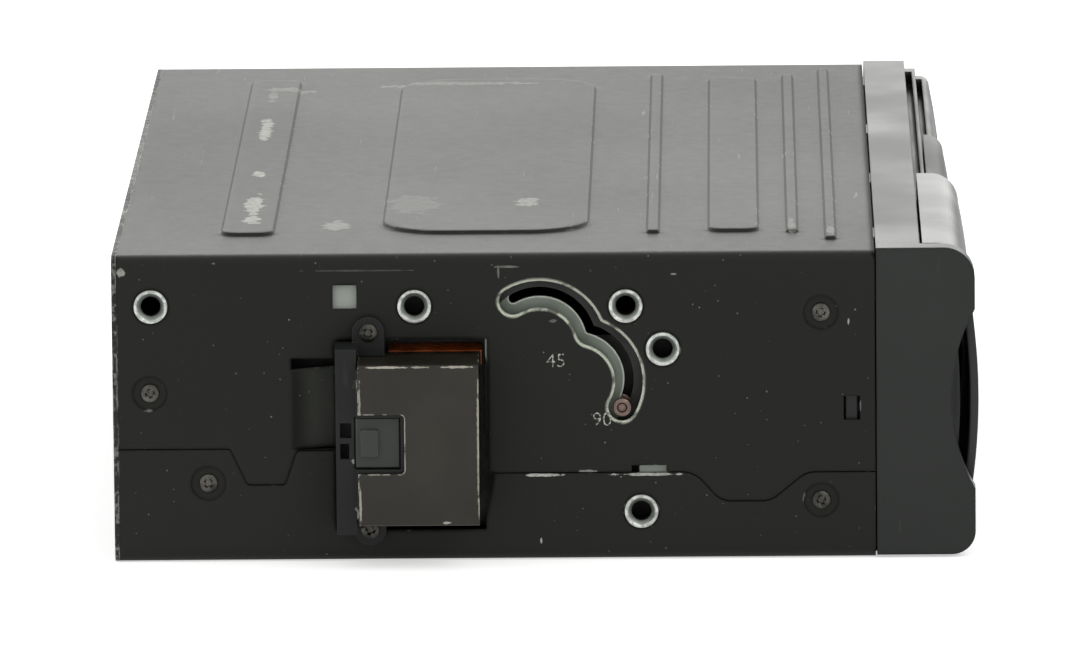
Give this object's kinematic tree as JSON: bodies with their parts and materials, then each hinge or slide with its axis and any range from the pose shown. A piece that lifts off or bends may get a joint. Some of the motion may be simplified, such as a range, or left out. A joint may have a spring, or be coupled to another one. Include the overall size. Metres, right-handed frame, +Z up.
{
  "type": "car cd changer",
  "caption": "Flat black magazine CD changer for a car boot, with a telescoping sliding door, side mounting bushes, suspension selectors and a shielded side socket.",
  "frame": {"origin": "on the surface it stands on, under the middle of the whole part, side guard and bushes included", "axes": "+Z up, front door facing -Y, +X to the right seen from the front"},
  "size_m": [0.2624, 0.1818, 0.066],
  "materials": {
    "case_paint": "matte black sheet steel, worn at its edges and on its beads",
    "bezel": "fine-grained black moulding",
    "door": "satin black moulding",
    "zinc": "bright zinc plate",
    "black_screw": "blackened steel",
    "copper_pin": "copper-flashed steel",
    "socket": "black moulding",
    "guard": "bronze-grey plated sheet with scuffed edges",
    "amber_sheet": "thin orange-brown film",
    "white_plastic": "white slide plastic",
    "steel": "plated steel",
    "spring_steel": "bright spring wire",
    "inner_plastic": "black moulding",
    "tray_plastic": "dark grey moulding",
    "rubber": "soft damper rubber",
    "board": "green lacquered board",
    "chip": "black resin"
  },
  "bodies": {
    "chassis": {"bottom_chassis": "case_paint", "top_cover": "case_paint", "rear_plate": "case_paint", "front_bezel": "bezel", "mount_nuts_left": "zinc", "mount_nuts_right": "zinc", "cover_screws_left": "black_screw", "cover_screws_right": "black_screw", "side_bracket_left": "zinc", "side_bracket_right": "zinc", "suspension_spring_left": "spring_steel", "suspension_spring_right": "spring_steel", "connector_housing": "socket", "connector_latch": "socket", "connector_shield": "guard", "insulation_sheet": "amber_sheet", "connector_screws": "black_screw", "mechanism_frame": "steel", "oil_dampers": "rubber", "lift_rods": "steel", "lift_motor": "steel", "magazine_cradle": "inner_plastic", "button_spring": "spring_steel", "main_board": "board", "board_parts": "chip"},
    "outer_door": {"outer_door": "door"},
    "inner_door": {"inner_door": "door"},
    "selector_left": {"selector_left": "copper_pin"},
    "selector_right": {"selector_right": "copper_pin"},
    "eject": {"eject_button": "bezel", "eject_link": "inner_plastic"},
    "magazine": {"magazine_case": "inner_plastic", "tray_4": "tray_plastic", "tray_5": "tray_plastic"},
    "tray_1": {"tray_1": "tray_plastic"},
    "tray_2": {"tray_2": "tray_plastic"},
    "tray_3": {"tray_3": "tray_plastic"},
    "tray_6": {"tray_6": "tray_plastic"},
    "lift_cam": {"lift_cam": "white_plastic"},
    "deck": {"play_deck": "steel", "spindle_motor": "steel", "pickup_rods": "steel", "sled_motor": "steel"},
    "turntable": {"turntable": "inner_plastic"},
    "pickup": {"pickup": "inner_plastic"},
    "lead_screw": {"lead_screw": "steel"},
    "clamp_arm": {"clamp_arm": "steel"},
    "clamper": {"clamper": "inner_plastic"}
  },
  "joints": [
    {"name": "outer_door_slide", "type": "slide", "parent": "chassis", "child": "outer_door", "axis": [1, 0, 0], "range_m": [0, 0.072]},
    {"name": "inner_door_slide", "type": "slide", "parent": "outer_door", "child": "inner_door", "axis": [1, 0, 0], "range_m": [-0.062, 0.014]},
    {"name": "selector_left_turn", "type": "hinge", "parent": "chassis", "child": "selector_left", "pos_m": [-0.11375, -0.0066, 0.03801], "axis": [-1, 0, 0], "range_deg": [0, 105.5], "deforming": ["suspension_spring_left"]},
    {"name": "selector_right_turn", "type": "hinge", "parent": "chassis", "child": "selector_right", "pos_m": [0.12525, -0.0066, 0.03801], "axis": [-1, 0, 0], "range_deg": [0, 105.5], "deforming": ["suspension_spring_right"]},
    {"name": "eject_button_push", "type": "slide", "parent": "chassis", "child": "eject", "axis": [0, 1, 0], "range_m": [0, 0.0025], "stiffness_N_per_m": 400, "springref_m": -0.002, "deforming": ["button_spring"]},
    {"name": "magazine_eject", "type": "slide", "parent": "chassis", "child": "magazine", "axis": [0, 1, 0], "range_m": [-0.0075, 0]},
    {"name": "tray_1_slide", "type": "slide", "parent": "magazine", "child": "tray_1", "axis": [-1, 0, 0], "range_m": [0, 0.092]},
    {"name": "tray_2_slide", "type": "slide", "parent": "magazine", "child": "tray_2", "axis": [-1, 0, 0], "range_m": [0, 0.092]},
    {"name": "tray_3_slide", "type": "slide", "parent": "magazine", "child": "tray_3", "axis": [-1, 0, 0], "range_m": [0, 0.092]},
    {"name": "tray_6_slide", "type": "slide", "parent": "magazine", "child": "tray_6", "axis": [-1, 0, 0], "range_m": [0, 0.092]},
    {"name": "deck_lift", "type": "slide", "parent": "chassis", "child": "deck", "axis": [0, 0, 1], "range_m": [-0.026, 0.0034]},
    {"name": "cam_slide", "type": "slide", "parent": "chassis", "child": "lift_cam", "axis": [0, 1, 0], "range_m": [-0.0034, 0.026]},
    {"name": "turntable_spin", "type": "hinge", "parent": "deck", "child": "turntable", "pos_m": [-0.04025, -0.0041, 0.042], "axis": [0, 0, 1], "continuous": true},
    {"name": "pickup_slide", "type": "slide", "parent": "deck", "child": "pickup", "axis": [0, 1, 0], "range_m": [0, 0.032]},
    {"name": "lead_screw_spin", "type": "hinge", "parent": "deck", "child": "lead_screw", "pos_m": [-0.05975, 0.0309, 0.037], "axis": [0, 1, 0], "range_deg": [0, 3841]},
    {"name": "clamp_arm_lower", "type": "hinge", "parent": "deck", "child": "clamp_arm", "pos_m": [-0.04055, 0.0684, 0.052], "axis": [-1, 0, 0], "range_deg": [-3.5, 0]},
    {"name": "clamper_spin", "type": "hinge", "parent": "clamp_arm", "child": "clamper", "pos_m": [-0.04025, -0.0041, 0.053], "axis": [0, 0, 1], "continuous": true}
  ],
  "couplings": [
    {"joint": "cam_slide", "follows": "deck_lift", "ratio": -1},
    {"joint": "lead_screw_spin", "follows": "pickup_slide", "rad_per_m": 2094.4}
  ]
}
